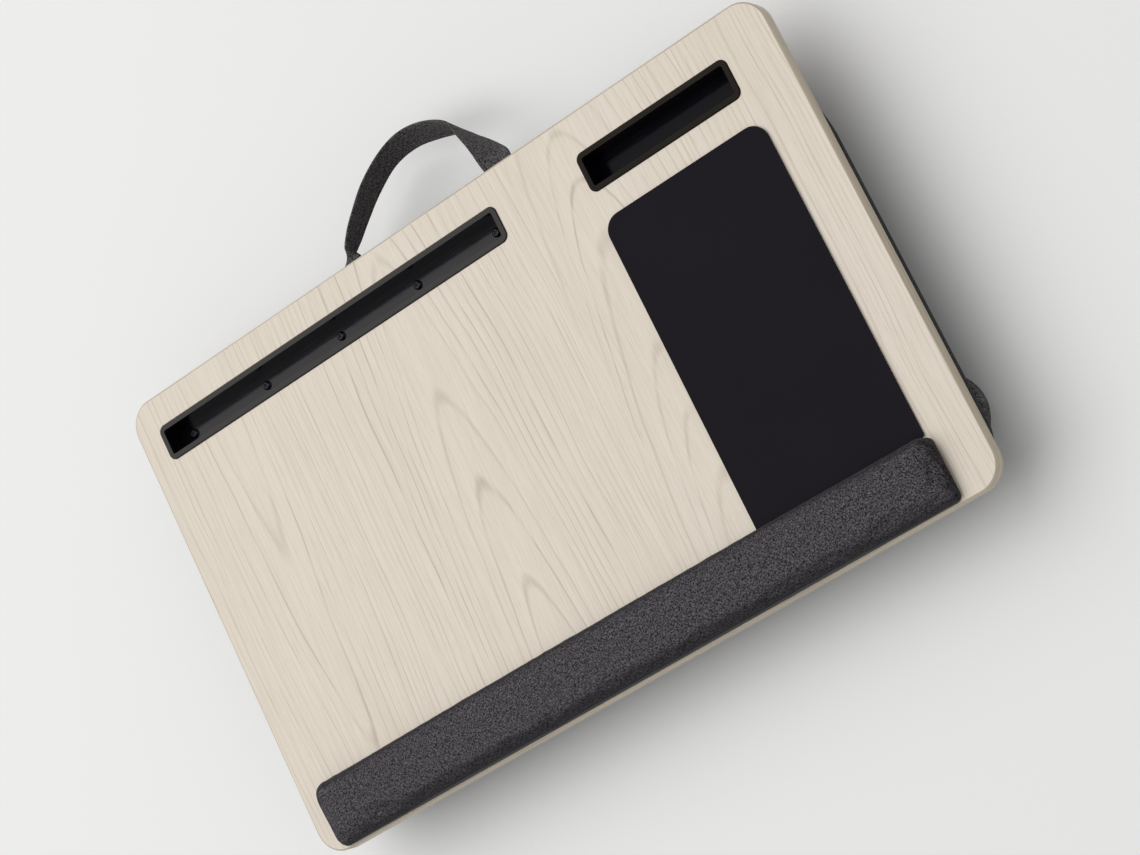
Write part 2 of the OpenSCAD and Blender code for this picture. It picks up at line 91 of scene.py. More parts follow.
def connect(node, inputs):
    """Links or fills a node's inputs: the first ones in order, or those of the names given."""
    named = inputs.items() if isinstance(inputs, dict) else enumerate(inputs)
    for key, value in named:
        if isinstance(value, bpy.types.NodeSocket):
            node.id_data.links.new(value, node.inputs[key])
        else:
            node.inputs[key].default_value = value


def add_node(tree, kind, inputs=(), **settings):
    """Adds a node with its settings, links or fills its inputs, and returns its outputs."""
    node = tree.nodes.new(kind)
    for name, value in settings.items():
        setattr(node, name, value)
    connect(node, inputs)
    return node.outputs


def start_material(name):
    """A new material, and add_node for its tree."""
    material = bpy.data.materials.new(name)
    material.use_nodes = True
    return material, partial(add_node, material.node_tree)


def fill_shader(material, inputs):
    """Links or fills the inputs of a material's shader."""
    connect(material.node_tree.nodes["Principled BSDF"], inputs)
    return material


def two_toned(material, add, share, tones, inputs, relief=None):
    """Mixes two tones by a pattern and fills the shader's other inputs. Relief is the pattern
    that stands up, how high in metres, and its strength."""
    tone = add(MIX, {0: share, 6: tones[0], 7: tones[1]}, data_type="RGBA")[2]
    if relief:
        height, distance, strength = relief
        bump = add(BUMP, {"Height": height, "Distance": distance, "Strength": strength})[0]
        inputs = {**inputs, "Normal": bump}
    return fill_shader(material, {"Base Color": tone, **inputs})


def paint(node_name, material):
    """Gives a CAD node its material."""
    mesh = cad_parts[node_name].data
    mesh.materials.clear()
    mesh.materials.append(material)


def streaks(add, place, sizes, detail):
    """A random pattern from 0 to 1 whose patches have about the given sizes along X, Y and Z."""
    scales = [1 / size for size in sizes]
    scaled = add("ShaderNodeVectorMath", [place, scales], operation="MULTIPLY")[0]
    return add("ShaderNodeTexNoise", {"Vector": scaled, "Scale": 1.0, "Detail": detail})[0]


def board_place(add):
    """The place on the board in millimetres, from the front left corner."""
    point = add("ShaderNodeTexCoord")["Object"]
    to_board = {"Vector": point, "Location": -BOARD_LOW / MM, "Scale": (1 / MM,) * 3}
    return add("ShaderNodeMapping", to_board)["Vector"]


# ---- Materials ----

# Where the printed log was cut flat its growth lines close into arches. Each arch has its axis,
# in millimetres from the board's left edge, the depth of the log's heart below the cut at the
# board's front edge, how fast that depth grows towards the back, and how far its rings start.
WOOD_ARCHES = [(70, 31, -0.035, 55), (230, 31, 0.062, 0), (388, 42, 0.084, 42), (585, 18, -0.02, 52)]


def growth_rings(add, place, wood):
    """The number of growth rings from the nearest arch's heart, as a smooth field."""
    parts = add("ShaderNodeSeparateXYZ", [place])
    wander = streaks(add, place, (70, 190, 100), 2)
    drift = wood.drift / MM
    x = add(MATH, [wander, drift, parts["X"]], operation="MULTIPLY_ADD")[0]
    hearts = []
    for axis, depth, growth, start in WOOD_ARCHES:
        aside = add(MATH, [x, axis + drift / 2], operation="SUBTRACT")[0]
        deep = add(MATH, [parts["Y"], growth, depth], operation="MULTIPLY_ADD")[0]
        deep_squared = add(MATH, [deep, deep], operation="MULTIPLY")[0]
        squared = add(MATH, [aside, aside, deep_squared], operation="MULTIPLY_ADD")[0]
        radius = add(MATH, [squared], operation="SQRT")[0]
        hearts.append(add(MATH, [radius, start], operation="ADD")[0])
    nearest = hearts[0]
    for other in hearts[1:]:
        nearest = add(MATH, [nearest, other], operation="MINIMUM")[0]
    rings = add(MATH, [nearest, wood.ring_spacing / MM], operation="DIVIDE")[0]
    years = {"W": rings, "Scale": 0.31, "Detail": 1.0}
    uneven = add("ShaderNodeTexNoise", years, noise_dimensions="1D")[0]
    return add(MATH, [uneven, 2.2, rings], operation="MULTIPLY_ADD")[0]


def limed_ash_laminate(wood):
    """Melamine paper printed as limed ash, pressed on fibreboard with a satin plate. The eye sees
    thin grey-brown growth lines of uneven strength, faint fibres and a soft, even sheen."""
    material, add = start_material("limed_ash_laminate")
    place = board_place(add)
    rings = growth_rings(add, place, wood)
    # a ring's line is darkest at the whole number, and each ring has its own strength
    apart = add(MATH, [rings, 0.5], operation="PINGPONG")[0]
    line = add(RANGE, [apart, wood.line_share, 0.0], interpolation_type="SMOOTHSTEP")[0]
    number = add(MATH, [rings], operation="ROUND")[0]
    chance = add("ShaderNodeTexWhiteNoise", {"W": number}, noise_dimensions="1D")["Value"]
    strength = add(MATH, [chance, 1.8], operation="POWER")[0]
    own = add(MATH, [strength, 0.62, 0.38], operation="MULTIPLY_ADD")[0]
    drawn = add(MATH, [line, own], operation="MULTIPLY")[0]
    # along its way a line fades and comes back
    fading = streaks(add, place, (9, 55, 100), 2)
    faded = add(RANGE, [fading, 0.34, 0.54, 0.2])[0]
    lines = add(MATH, [drawn, faded], operation="MULTIPLY")[0]
    # summer wood darkens gently towards the next line
    season = add(MATH, [rings], operation="FRACT")[0]
    fibres = streaks(add, place, (1.3, 48, 5), 2)
    fibre_tone = add(RANGE, [fibres, 0.4, 0.7])[0]
    pores = streaks(add, place, (0.55, 11, 5), 1)
    pore_tone = add(RANGE, [pores, 0.62, 0.74])[0]
    broad = streaks(add, place, (55, 260, 100), 2)
    tone = add(MIX, {0: broad, 6: wood.pale, 7: wood.warm}, data_type="RGBA")[2]
    for mark, amount in ((season, 0.05), (fibre_tone, 0.12), (pore_tone, 0.14), (lines, 0.62)):
        part = add(MATH, [mark, amount], operation="MULTIPLY")[0]
        tone = add(MIX, {0: part, 6: tone, 7: wood.line}, data_type="RGBA")[2]
    height = add(MATH, [fibre_tone, lines], operation="ADD")[0]
    pressed = {"Height": height, "Distance": 0.14 * MM, "Strength": 0.6}
    inputs = {"Base Color": tone, "Normal": add(BUMP, pressed, invert=True)[0]}
    inputs["Roughness"] = add(RANGE, [fibres, 0.0, 1.0, 0.42, 0.56])[0]
    return fill_shader(material, {**inputs, "Specular IOR Level": 0.4})


def abs_edging(wood):
    """ABS edging with a wood print, glued round the board and scraped flush: plain and slightly
    darker than the face, with streaks that run along it and a smoother bevel."""
    material, add = start_material("abs_wood_edging")
    place = board_place(add)
    along = streaks(add, place, (150, 150, 1.1), 3)
    fine = streaks(add, place, (40, 40, 0.45), 2)
    both = add(MATH, [along, fine], operation="MULTIPLY")[0]
    share = add(RANGE, [both, 0.12, 0.4])[0]
    tones = wood.edge, wood.edge_dark
    return two_toned(material, add, share, tones, {"Roughness": 0.42}, (fine, 0.02 * MM, 0.4))


def speckled(name, light, dark, grain, roughness, relief):
    """A pressed or foamed stock: two tones mixed at the size of its grain, with that relief."""
    material, add = start_material(name)
    grains = streaks(add, board_place(add), (grain, grain, grain), 4)
    share = add(RANGE, [grains, 0.35, 0.65])[0]
    tones = linear(light), linear(dark)
    return two_toned(material, add, share, tones, {"Roughness": roughness}, (grains, relief * MM, 0.6))


def moulded_abs(name, plastics, gloss):
    """Black ABS from a polished or a matt mould: it mirrors its own walls as much as its gloss
    lets it, with faint waves where the plastic shrank and light scuffs from the devices that
    slide in. Its rim is painted a greyer black as a painted highlight, and its inside a deeper
    black as painted shade."""
    material, add = start_material(name)
    place = board_place(add)
    height = add("ShaderNodeSeparateXYZ", [place])["Z"]
    board_top = (BOARD_HIGH.z - BOARD_LOW.z) / MM
    # painted highlight and shade: above the board's top the rim is painted a greyer black, below it the
    # inside a deeper black
    painted_rim_light = add(RANGE, [height, board_top - 0.5, board_top])[0]
    black = add(MIX, {0: painted_rim_light, 6: plastics.tray, 7: plastics.rim}, data_type="RGBA")[2]
    waves = streaks(add, place, (14, 9, 9), 1)
    scuffs = streaks(add, place, (26, 1.2, 6), 3)
    rough = add(RANGE, [scuffs, 0.5, 0.75, 0.13, 0.3])[0]
    dust = add(RANGE, [scuffs, 0.58, 0.85, 0.0, 0.25])[0]
    inputs = {"Roughness": rough, "Specular IOR Level": gloss}
    return two_toned(material, add, dust, (black, plastics.scuff), inputs, (waves, 0.12 * MM, 0.35))


def black_zinc(plastics):
    """Steel screws in black zinc: a dark metal with a slightly grainy, worn coat."""
    material, add = start_material("black_zinc_steel")
    grains = streaks(add, board_place(add), (0.5, 0.5, 0.5), 3)
    rough = add(RANGE, [grains, 0.0, 1.0, 0.3, 0.5])[0]
    tones = plastics.screw, plastics.screw_worn
    return two_toned(material, add, grains, tones, {"Metallic": 1.0, "Roughness": rough})


def coated_pad_face(plastics):
    """The mouse pad's polyurethane-coated cloth: an even, very dark matt with a fine grain. The
    grain is drawn at 0.5 mm, coarser than it is, so that it shows."""
    material, add = start_material("matt_coated_cloth")
    place = board_place(add)
    cells = {"Vector": place, "Scale": 1 / 0.5}
    grain = add("ShaderNodeTexVoronoi", cells, feature="SMOOTH_F1")["Distance"]
    clouds = streaks(add, place, (45, 60, 10), 2)
    tones = plastics.pad, plastics.pad_light
    inputs = {"Roughness": 0.7, "Specular IOR Level": 0.08}
    return two_toned(material, add, clouds, tones, inputs, (grain, 0.05 * MM, 0.4))


def heather_cloth(name, cloth, dark, light, painted_edge_shade=0.0):
    """Heather polyester in a plain weave, lightly brushed. Dark and light fibres are spun
    together, so short flecks follow each thread and the nap gives a soft sheen. The gaps
    between threads are painted darker as shade, and where the cloth slopes over an edge it is
    painted darker still as shade, by as much as the last argument says. Its threads are drawn
    wider than real ones, so that they show."""
    material, add = start_material(name)
    on_cloth = add("ShaderNodeUVMap", uv_map=WEAVE)["UV"]
    count = (1 / cloth.thread, 1 / cloth.thread, 0)
    threads = add("ShaderNodeVectorMath", [on_cloth, count], operation="MULTIPLY")[0]
    over = add("ShaderNodeTexChecker", {"Vector": threads, "Scale": 1.0})["Fac"]
    warp = streaks(add, threads, (1.1, 2.4, 1), 1)
    weft = streaks(add, threads, (2.4, 1.1, 1), 1)
    fleck = add(MIX, {0: over, 2: warp, 3: weft})[0]
    patches = streaks(add, threads, (5, 5, 1), 1)
    uneven = add(MATH, [patches, 0.16, fleck], operation="MULTIPLY_ADD")[0]
    share = add(RANGE, [uneven, 0.46, 0.76])[0]
    tone = add(MIX, {0: share, 6: dark, 7: light}, data_type="RGBA")[2]
    # each crossing of two threads stands up as a small round cushion
    parts = add("ShaderNodeSeparateXYZ", [threads])
    crowns = []
    for axis in ("X", "Y"):
        turn = add(MATH, [parts[axis], math.pi], operation="MULTIPLY")[0]
        wave = add(MATH, [turn], operation="SINE")[0]
        crowns.append(add(MATH, [wave], operation="ABSOLUTE")[0])
    crown = add(MATH, [crowns[0], crowns[1]], operation="MULTIPLY")[0]
    height = add(MATH, [fleck, 0.8, crown], operation="MULTIPLY_ADD")[0]
    # painted shade: the gaps between threads are painted darker
    gap_shade = add(RANGE, [crown, 0.0, 0.5, 0.55])[0]
    # painted shade: the cloth is painted darker where its surface slopes away from up, most over its
    # edges, by the given share
    facing = add("ShaderNodeTexCoord")["Normal"]
    upwards = add("ShaderNodeSeparateXYZ", [facing])["Z"]
    flat = add(RANGE, [upwards, 0.72, 0.985, 1 - painted_edge_shade])[0]
    seen = add(MATH, [gap_shade, flat], operation="MULTIPLY")[0]
    nap = {"Roughness": 0.92, "Specular IOR Level": 0.1, "Sheen Weight": 0.04, "Sheen Roughness": 0.6}
    return two_toned(material, add, seen, (BLACK, tone), nap, (height, 0.22 * cloth.thread, 0.7))


def sewing_thread(name, tone):
    """Twisted polyester sewing thread: its two plies show as slanting ridges along each stitch."""
    material, add = start_material(name)
    point = add("ShaderNodeTexCoord")["Object"]
    twist = {"Vector": point, "Scale": 0.5 / MM, "Distortion": 1.0}
    plies = add("ShaderNodeTexWave", twist, bands_direction="DIAGONAL")["Fac"]
    shade = add(RANGE, [plies, 0.0, 1.0, 0.6])[0]
    return two_toned(material, add, shade, (BLACK, tone), {"Roughness": 0.6, "Sheen Weight": 0.2})


# ---- Meshes ----


def on_board(x, y, z=0.0):
    """A place in millimetres from the front left corner of the board's top, in the row frame."""
    return Vector((BOARD_LOW.x + x * MM, BOARD_LOW.y + y * MM, BOARD_HIGH.z + z * MM))


def signed_power(value, power):
    """A power that keeps the sign, which makes a circle squarer as the power falls."""
    return np.sign(value) * np.abs(value) ** power


# From the middle of the underside, round the back and over the top to the front
ROUND_ANGLES = np.radians(-90 + np.arange(400) * 0.9)


def slices_along(half, end, step, end_slices):
    """Where a padded roll is sliced, from its middle, and how far it is open there: 1 along its
    straight part and less round its two ends."""
    straight = half - end
    turns = np.radians(np.linspace(4, 90, end_slices, endpoint=False))
    slices = [(-straight - end * math.cos(a), math.sin(a)) for a in turns]
    slices += [(x, 1.0) for x in np.linspace(-straight, straight, round(2 * straight / step))]
    return slices + [(straight + end * math.cos(a), math.sin(a)) for a in turns[::-1]]


def slice_at(x, across, up):
    """A slice's points, from numbers or arrays for the three directions."""
    return np.stack(np.broadcast_arrays(x, across, up), 1)


def run_along(points):
    """How far along their line each of the points is."""
    return np.concatenate([[0], np.cumsum(np.linalg.norm(np.diff(points, axis=0), axis=1))])


def evenly(points, count):
    """A closed line's points, spaced evenly along it from its first one."""
    closed = np.vstack([points, points[:1]])
    run = run_along(closed)
    at = np.linspace(0, run[-1], count, endpoint=False)
    return np.stack([np.interp(at, run, closed[:, k]) for k in range(points.shape[1])], 1)


def put_in_scene(name, data):
    """A new object in the scene, at the origin."""
    made = bpy.data.objects.new(name, data)
    bpy.context.scene.collection.objects.link(made)
    return made


def add_piece(name, points, faces, weave, material):
    """A mesh object from points, faces and each face corner's place on the cloth."""
    mesh = bpy.data.meshes.new(name)
    mesh.from_pydata([tuple(p) for p in points], [], faces)
    layer = mesh.uv_layers.new(name=WEAVE)
    layer.data.foreach_set("uv", np.asarray(weave, np.float32).ravel())
    mesh.materials.append(material)
    outwards = bmesh.new()
    outwards.from_mesh(mesh)
    bmesh.ops.recalc_face_normals(outwards, faces=outwards.faces)
    outwards.to_mesh(mesh)
    outwards.free()
    mesh.shade_smooth()
    return put_in_scene(name, mesh)


def add_tube(name, rings, material):
    """A closed skin over rings of points. The weave map runs along the tube and round it, and it
    is cut at each ring's first point, so that the threads run true on the opposite side."""
    rings = np.asarray(rings, float)
    count, sides = rings.shape[:2]
    middles = rings.mean(1)
    along = run_along(middles)
    steps = np.linalg.norm(np.roll(rings, -1, 1) - rings, axis=2)
    across = np.concatenate([np.zeros((count, 1)), np.cumsum(steps, 1)], 1)
    across -= across[:, -1:] / 2
    faces, weave = [], []
    for j in range(count - 1):
        for i in range(sides):
            corners = [(j, i), (j, i + 1), (j + 1, i + 1), (j + 1, i)]
            faces.append([a * sides + b % sides for a, b in corners])
            weave += [(along[a], across[a, b]) for a, b in corners]
    for end, row in enumerate((0, count - 1)):
        for i in range(sides):
            faces.append([count * sides + end, row * sides + i, row * sides + (i + 1) % sides])
            weave += [(along[row], 0), (along[row], across[row, i]), (along[row], across[row, i + 1])]
    points = np.vstack([rings.reshape(-1, 3), middles[[0, -1]]])
    return add_piece(name, points, faces, weave, material)


def places_of(mesh):
    """A mesh's points as an array."""
    places = np.zeros(len(mesh.vertices) * 3)
    mesh.vertices.foreach_get("co", places)
    return places.reshape(-1, 3)


def move_to(piece, places):
    """Puts a mesh's points at those places."""
    piece.data.vertices.foreach_set("co", np.asarray(places, np.float32).ravel())
    piece.data.update()


# How the cloth of a padded piece behaves while its filling pushes it out
CLOTH_SETTINGS = {
    "quality": 6,
    "mass": 0.15,
    "tension_stiffness": 25,
    "compression_stiffness": 25,
    "shear_stiffness": 8,
    "use_pressure": True,
    "vertex_group_mass": "held",
}
SHAKE = 0.02 * MM  # how unevenly the cloth lies before it swells


def swell(piece, held, cloth, cap, slack, give=1.0):
    """Blows a padded piece up as cloth whose held points stay, no point further than the cap.
    Slack is how much wider than its pattern the cloth is, which puckers it along what holds it.
    Give is the share of its own movement that each point keeps."""
    before = places_of(piece.data)
    rng = np.random.default_rng(len(before))
    group = piece.vertex_groups.new(name="held")
    group.add([int(i) for i in np.flatnonzero(held)], 1.0, "REPLACE")
    shaken = before.copy()
    shaken[~held] += rng.normal(0, SHAKE, (np.count_nonzero(~held), 3))
    move_to(piece, shaken)
    sim = piece.modifiers.new("Swell", "CLOTH")
    own = {"bending_stiffness": cloth.bending, "uniform_pressure_force": cloth.pressure}
    for name, value in {**CLOTH_SETTINGS, **own, "shrink_min": -slack}.items():
        setattr(sim.settings, name, value)
    sim.settings.effector_weights.gravity = 0
    sim.collision_settings.use_collision = False
    sim.point_cache.frame_start = 1
    sim.point_cache.frame_end = cloth.frames
    for step in range(1, cloth.frames + 1):
        bpy.context.scene.frame_set(step)
    swollen = piece.evaluated_get(bpy.context.evaluated_depsgraph_get())
    moved = places_of(swollen.to_mesh()) - before
    swollen.to_mesh_clear()
    if not np.isfinite(moved).all():
        raise RuntimeError(f"the cloth of {piece.name} flew apart")
    far = np.linalg.norm(moved, axis=1, keepdims=True)
    softened = give * cap * np.tanh(far / cap) / np.maximum(far, 1e-9)
    piece.modifiers.remove(sim)
    piece.vertex_groups.remove(group)
    bpy.context.scene.frame_set(1)
    move_to(piece, before + moved * softened)


def smoother(piece):
    """Adds one subdivision, the same in the view and in the render."""
    rounder = piece.modifiers.new("Smoother", "SUBSURF")
    rounder.levels = rounder.render_levels = 1


def declare(piece, body, replaced=()):
    """Says what a piece rides on and what it stands for."""
    if body:
        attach(piece, body)
    if replaced:
        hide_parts(*replaced)


# ---- Stitches ----

STITCH_SIZES = ("spacing", "stitch", "thickness")


def stitch_tree(material):
    """A node tree that sets stitches along lines, each lying along its line and facing outwards."""
    tree = bpy.data.node_groups.new("stitch_row", "GeometryNodeTree")
    add = partial(add_node, tree)
    for way in ("INPUT", "OUTPUT"):
        tree.interface.new_socket("Geometry", in_out=way, socket_type="NodeSocketGeometry")
    for name in STITCH_SIZES:
        tree.interface.new_socket(name, in_out="INPUT", socket_type="NodeSocketFloat")
    given = add("NodeGroupInput")
    spacing, stitch, thickness = (given[name] for name in STITCH_SIZES)
    line = add("GeometryNodeMeshToCurve", [given["Geometry"]])[0]
    spaced = add("GeometryNodeResampleCurve", {"Curve": line, "Length": spacing}, mode="LENGTH")[0]
    ball = add("GeometryNodeMeshUVSphere", {"Segments": 6, "Rings": 5, "Radius": 0.5})["Mesh"]
    flat = add(MATH, [thickness, 0.7], operation="MULTIPLY")[0]
    size = add("ShaderNodeCombineXYZ", [stitch, thickness, flat])[0]
    along = add("GeometryNodeInputTangent")[0]
    stored = {"Name": FACING}
    outwards = add("GeometryNodeInputNamedAttribute", stored, data_type="FLOAT_VECTOR")["Attribute"]
    axes = {"primary_axis": "X", "secondary_axis": "Z"}
    turned = add("FunctionNodeAxesToRotation", [along, outwards], **axes)[0]
    each = {"Points": spaced, "Instance": ball, "Rotation": turned, "Scale": size}
    stitches = add("GeometryNodeInstanceOnPoints", each)[0]
    solid = add("GeometryNodeRealizeInstances", [stitches])[0]
    finished = add("GeometryNodeSetMaterial", {"Geometry": solid, "Material": material})[0]
    add("NodeGroupOutput", [finished])
    return tree


def sew(name, rows, sewing, tree):
    """Stitches along rows of points, each row with the way that it faces, as one plain mesh."""
    points, edges, facing = [], [], []
    for row, out, closed in rows:
        first = len(points)
        points += [tuple(p) for p in row]
        facing += [tuple(n) for n in out]
        edges += [(first + k, first + k + 1) for k in range(len(row) - 1)]
        if closed:
            edges.append((len(points) - 1, first))
    lines = bpy.data.meshes.new(name + "_lines")
    lines.from_pydata(points, edges, [])
    stored = lines.attributes.new(FACING, "FLOAT_VECTOR", "POINT")
    stored.data.foreach_set("vector", np.asarray(facing, np.float32).ravel())
    guide = put_in_scene(name + "_lines", lines)
    stitched = guide.modifiers.new("Stitches", "NODES")
    stitched.node_group = tree
    for item in tree.interface.items_tree:
        if item.name in STITCH_SIZES:
            stitched[item.identifier] = getattr(sewing, item.name)
    depsgraph = bpy.context.evaluated_depsgraph_get()
    mesh = bpy.data.meshes.new_from_object(guide.evaluated_get(depsgraph))
    bpy.data.objects.remove(guide)
    mesh.name = name
    mesh.shade_smooth()
    return put_in_scene(name, mesh)


# ---- Sizes and colours that a user would change ----


def colour(name, description, hex_colour):
    """A colour that a user can change."""
    return bpy.props.FloatVectorProperty(
        name=name, description=description, subtype="COLOR", size=4, default=linear(hex_colour)
    )


def number(name, description, default, **kind):
    """A number that a user can change."""
    return bpy.props.FloatProperty(name=name, description=description, default=default, **kind)


def length(name, description, millimetres):
    """A length that a user can change."""
    return number(name, description, millimetres * MM, unit="LENGTH")


def fraction(name, description, default):
    """A number from 0 to 1 that a user can change."""
    return number(name, description, default, min=0, max=1, subtype="FACTOR")


class WoodLook(bpy.types.PropertyGroup):
    """The printed board and its edging"""

    pale: colour("Pale", "Lightest tone of the print", "#e5dccf")
    warm: colour("Warm", "Warmer tone that it drifts to", "#e2d6c5")
    line: colour("Growth line", "Tone of the growth lines", "#a3937f")
    edge: colour("Edging", "Main tone of the edging", "#cfc1ab")
    edge_dark: colour("Edging streaks", "Darker tone of the edging", "#ab9e8a")
    ring_spacing: length("Ring spacing", "Distance between growth lines", 4.6)
    line_share: fraction("Line share", "Half width of a growth line, as a share of the spacing", 0.13)
    drift: length("Drift", "How far the grain wanders sideways", 16)


class PlasticLook(bpy.types.PropertyGroup):
    """The moulded trays, the mouse pad and the screws"""

    # painted shade: the trays' inside is painted a deeper black
    tray: colour("Tray", "Black of the moulded trays inside", "#0c0b13")
    # painted highlight: the rims are painted a greyer black
    rim: colour("Rim", "Black of the trays' rims", "#1e1913")
    scuff: colour("Scuffs", "Tone of fine scuffs in the trays", "#3a3940")
    tablet_gloss: fraction("Tablet slot gloss", "How much the long tray mirrors", 0.22)
    phone_gloss: fraction("Phone slot gloss", "How much the short tray mirrors", 0.05)
    screw: colour("Screws", "Tone of the screws' coat", "#232226")
    screw_worn: colour("Worn screws", "Tone where the coat is thin", "#3b3a40")
    pad: colour("Mouse pad", "Dark tone of the mouse pad", "#131116")
    pad_light: colour("Mouse pad, lighter", "Lighter tone that it drifts to", "#18151b")


class ClothLook(bpy.types.PropertyGroup):
    """The heather cloth of the wrist rest, the cushion and the handle"""

    dark: colour("Dark fibres", "Dark tone of the wrist rest", "#1a171b")
    light: colour("Light fibres", "Light tone of the wrist rest", "#7a757b")
    under_dark: colour("Dark fibres below", "Dark tone of the cushion and handle", "#161517")
    under_light: colour("Light fibres below", "Light tone of the cushion and handle", "#7b7778")
    # painted shade: how much darker the cloth is painted where it slopes over its edges
    painted_edge_shade: fraction("Painted edge shade", "How dark tight cloth is over its edges", 0.6)
    thread: length("Thread", "Distance between threads", 0.8)
    pressure: number("Pressure", "How hard the filling pushes the cloth out", 4.0)
    bending: number("Bending", "How stiff the cloth is when it bends", 0.25)
    frames: bpy.props.IntProperty(
        name="Frames", description="Steps of the cloth simulation", default=20, min=2
    )


class SewingLook(bpy.types.PropertyGroup):
    """The stitches of the handle and the cushion"""

    tone: colour("Thread", "Tone of the sewing thread", "#565358")
    spacing: length("Spacing", "Distance between stitches", 3.4)
    stitch: length("Stitch", "Length of one stitch", 2.7)
    thickness: length("Thickness", "Thickness of the thread", 0.55)


class StageLook(bpy.types.PropertyGroup):
    """The floor, the light and the camera"""

    floor: colour("Floor", "Colour of the floor", "#f4f4f3")
    sky: colour("Sky", "Colour of the light all round", "#ffffff")
    sky_strength: number("Sky strength", "Strength of the light all round", 0.38)
    sky_seen: number("Sky seen", "Strength of the sky where it is seen or mirrored", 0.9)
    lamp_power: number("Lamp power", "Power of the large soft lamp", 305.0, unit="POWER")
    lens: number("Lens", "Focal length in millimetres", 89.58, unit="CAMERA")


# ---- Operators: one for each piece or group of like pieces ----


class LAPDESK_OT_board(bpy.types.Operator):
    """Finish the board: its printed face, edging, core and balancing sheet"""

    bl_idname = "lapdesk.board"
    bl_label = "Board"

    def execute(self, context):
        wood = context.scene.lapdesk_wood
        paint("top_laminate", limed_ash_laminate(wood))
        paint("edge_band", abs_edging(wood))
        paint("board_core", speckled("fibreboard", "#b08d63", "#8d6c48", 1.4, 0.85, 0.15))
        paint("backing_sheet", speckled("balancing_laminate", "#c3b7a4", "#b3a691", 2.5, 0.55, 0.03))
        return {"FINISHED"}


class LAPDESK_OT_slots(bpy.types.Operator):
    """Finish the two moulded trays and the screws that hold the long one"""

    bl_idname = "lapdesk.slots"
    bl_label = "Device slots"

    def execute(self, context):
        plastics = context.scene.lapdesk_plastic
        paint("tablet_tray", moulded_abs("polished_black_abs", plastics, plastics.tablet_gloss))
        paint("phone_tray", moulded_abs("matt_black_abs", plastics, plastics.phone_gloss))
        screws = black_zinc(plastics)
        for name in ("tablet_tray_screws", "handle_screws", "handle_washers"):
            paint(name, screws)
        return {"FINISHED"}


class LAPDESK_OT_mouse_pad(bpy.types.Operator):
    """Finish the mouse pad's coated face, foam rubber and glue"""

    bl_idname = "lapdesk.mouse_pad"
    bl_label = "Mouse pad"

    def execute(self, context):
        paint("mouse_pad_face", coated_pad_face(context.scene.lapdesk_plastic))
        paint("mouse_pad_backing", speckled("foam_rubber", "#17161a", "#0d0d0f", 0.6, 0.9, 0.12))
        paint("mouse_pad_adhesive", speckled("transfer_glue", "#cfcabb", "#bdb7a6", 3.0, 0.4, 0.02))
        return {"FINISHED"}


# Form of the wrist rest. A curve is the power that makes a round squarer as it falls.
WRIST_FRONT_CURVE = 0.74
WRIST_BACK_CURVE = 0.36
WRIST_TOP_CURVE = 0.5
WRIST_FRONT = 0.7  # height of its front as a share of its back's
WRIST_BOW = 2.0 * MM  # how far its back edge bows in at the ends
WRIST_END = 16 * MM  # length of its rounded ends
WRIST_END_CURVE = 0.52
WRIST_FRONT_R = 4 * MM  # radius of its front corners in plan
WRIST_BACK_R = 10 * MM
WRIST_GLUED = 1.2 * MM  # how much of its height is held by the glue
WRIST_ROUND = 56  # points round a slice
WRIST_STEP = 3.2 * MM  # distance between slices
WRIST_END_SLICES = 12


def corner_cut(x, half, radius):
    """How much a corner of that radius takes off the depth at a distance from the middle."""
    past = min(max(abs(x) - (half - radius), 0), radius)
    return radius - math.sqrt(radius**2 - past**2)


class LAPDESK_OT_wrist_rest(bpy.types.Operator):
    """Make the wrist rest's padded cover and finish its base and tape"""

    bl_idname = "lapdesk.wrist_rest"
    bl_label = "Wrist rest"

    def execute(self, context):
        cloth = context.scene.lapdesk_cloth
        low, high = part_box("wrist_rest_cover")
        middle = (low + high) / 2
        half = (high - low) / 2
        tall = high.z - low.z
        squareness = np.where(np.cos(ROUND_ANGLES) > 0, WRIST_BACK_CURVE, WRIST_FRONT_CURVE)
        across = signed_power(np.cos(ROUND_ANGLES), squareness)
        slope = WRIST_FRONT + (1 - WRIST_FRONT) * (across + 1) / 2
        up = np.clip(np.sin(ROUND_ANGLES), 0, 1) ** WRIST_TOP_CURVE
        rings = []
        for x, opened in slices_along(half.x, WRIST_END, WRIST_STEP, WRIST_END_SLICES):
            bow = WRIST_BOW * (abs(x) / half.x) ** 3 * np.clip(across, 0, 1)
            cuts = [corner_cut(x, half.x, radius) for radius in (WRIST_FRONT_R, WRIST_BACK_R)]
            deep = half.y - np.where(across > 0, cuts[1], cuts[0])
            height = tall * slope * opened**WRIST_END_CURVE * up
            section = slice_at(middle.x + x, middle.y + across * deep - bow, low.z + height)
            rings.append(evenly(section, WRIST_ROUND))
        # painted shade: the wrist rest's cloth is painted darker where it rolls over its front, back
        # and ends
        material = heather_cloth("heather_polyester", cloth, cloth.dark, cloth.light, cloth.painted_edge_shade)
        cover = add_tube("wrist_rest_pad", rings, material)
        held = places_of(cover.data)[:, 2] < low.z + WRIST_GLUED
        swell(cover, held, cloth, cap=1.4 * MM, slack=0.012)
        places = places_of(cover.data)
        places[:, 2] = np.maximum(places[:, 2], low.z)
        move_to(cover, places)
        smoother(cover)
        declare(cover, "desk", ("wrist_rest_cover", "wrist_rest_foam"))
        strip = speckled("textured_black_plastic", "#1d1c20", "#121114", 0.7, 0.6, 0.06)
        paint("wrist_rest_base", strip)
        paint("wrist_rest_tape", speckled("foam_tape", "#d8d5c8", "#c6c2b2", 0.8, 0.9, 0.1))
        return {"FINISHED"}


